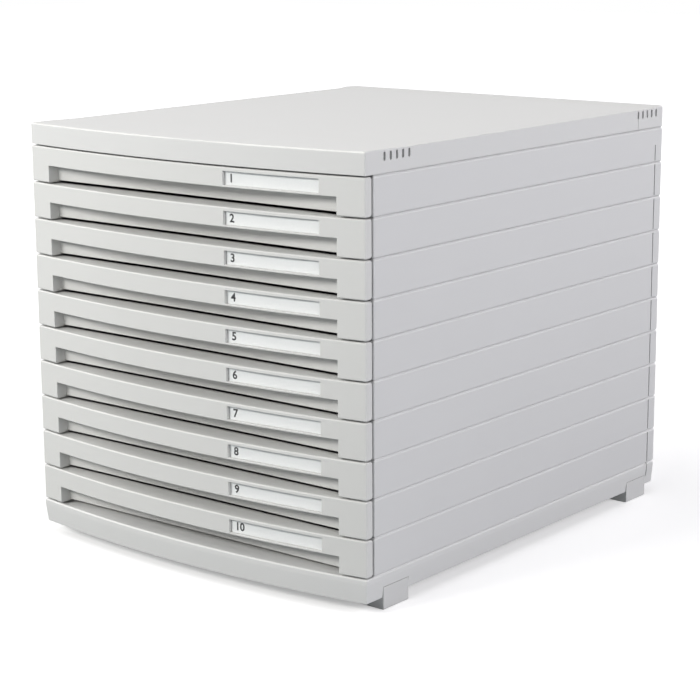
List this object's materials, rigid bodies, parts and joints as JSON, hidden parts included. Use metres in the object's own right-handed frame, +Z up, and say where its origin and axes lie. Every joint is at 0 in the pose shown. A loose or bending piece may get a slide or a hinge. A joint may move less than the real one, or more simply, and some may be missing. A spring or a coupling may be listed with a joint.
{
  "type": "desktop drawer box",
  "caption": "Desktop box of closed sliding drawers for A4 and C4 paper, with bowed fronts, finger grips under each bar, label pockets, stacked housings, top cover, base and feet.",
  "frame": {"origin": "middle of the box's footprint, at the level of the undersides of the feet", "axes": "+X to the right seen from the front, +Y from the drawer fronts to the back, +Z up"},
  "size_m": [0.28, 0.3516, 0.2805],
  "materials": {
    "cover_plastic": "light grey moulded polystyrene, fine satin",
    "housing_plastic": "light grey moulded polystyrene, fine satin",
    "drawer_plastic": "light grey moulded polystyrene, fine satin",
    "base_plastic": "light grey moulded polystyrene, fine satin",
    "foot_plastic": "light grey moulded polystyrene, fine satin",
    "card": "smooth white card"
  },
  "bodies": {
    "stack": {"base": "base_plastic", "foot_front_left": "foot_plastic", "foot_front_right": "foot_plastic", "foot_rear_left": "foot_plastic", "foot_rear_right": "foot_plastic", "housing_01": "housing_plastic", "housing_02": "housing_plastic", "housing_03": "housing_plastic", "housing_04": "housing_plastic", "housing_05": "housing_plastic", "housing_06": "housing_plastic", "housing_07": "housing_plastic", "housing_08": "housing_plastic", "housing_09": "housing_plastic", "housing_10": "housing_plastic", "top_cover": "cover_plastic"},
    "sliding_drawer_01": {"drawer_01": "drawer_plastic", "label_card_01": "card"},
    "sliding_drawer_02": {"drawer_02": "drawer_plastic", "label_card_02": "card"},
    "sliding_drawer_03": {"drawer_03": "drawer_plastic", "label_card_03": "card"},
    "sliding_drawer_04": {"drawer_04": "drawer_plastic", "label_card_04": "card"},
    "sliding_drawer_05": {"drawer_05": "drawer_plastic", "label_card_05": "card"},
    "sliding_drawer_06": {"drawer_06": "drawer_plastic", "label_card_06": "card"},
    "sliding_drawer_07": {"drawer_07": "drawer_plastic", "label_card_07": "card"},
    "sliding_drawer_08": {"drawer_08": "drawer_plastic", "label_card_08": "card"},
    "sliding_drawer_09": {"drawer_09": "drawer_plastic", "label_card_09": "card"},
    "sliding_drawer_10": {"drawer_10": "drawer_plastic", "label_card_10": "card"}
  },
  "joints": [
    {"name": "drawer_01_slide", "type": "slide", "parent": "stack", "child": "sliding_drawer_01", "axis": [0, -1, 0], "range_m": [0, 0.24]},
    {"name": "drawer_02_slide", "type": "slide", "parent": "stack", "child": "sliding_drawer_02", "axis": [0, -1, 0], "range_m": [0, 0.24]},
    {"name": "drawer_03_slide", "type": "slide", "parent": "stack", "child": "sliding_drawer_03", "axis": [0, -1, 0], "range_m": [0, 0.24]},
    {"name": "drawer_04_slide", "type": "slide", "parent": "stack", "child": "sliding_drawer_04", "axis": [0, -1, 0], "range_m": [0, 0.24]},
    {"name": "drawer_05_slide", "type": "slide", "parent": "stack", "child": "sliding_drawer_05", "axis": [0, -1, 0], "range_m": [0, 0.24]},
    {"name": "drawer_06_slide", "type": "slide", "parent": "stack", "child": "sliding_drawer_06", "axis": [0, -1, 0], "range_m": [0, 0.24]},
    {"name": "drawer_07_slide", "type": "slide", "parent": "stack", "child": "sliding_drawer_07", "axis": [0, -1, 0], "range_m": [0, 0.24]},
    {"name": "drawer_08_slide", "type": "slide", "parent": "stack", "child": "sliding_drawer_08", "axis": [0, -1, 0], "range_m": [0, 0.24]},
    {"name": "drawer_09_slide", "type": "slide", "parent": "stack", "child": "sliding_drawer_09", "axis": [0, -1, 0], "range_m": [0, 0.24]},
    {"name": "drawer_10_slide", "type": "slide", "parent": "stack", "child": "sliding_drawer_10", "axis": [0, -1, 0], "range_m": [0, 0.24]}
  ]
}
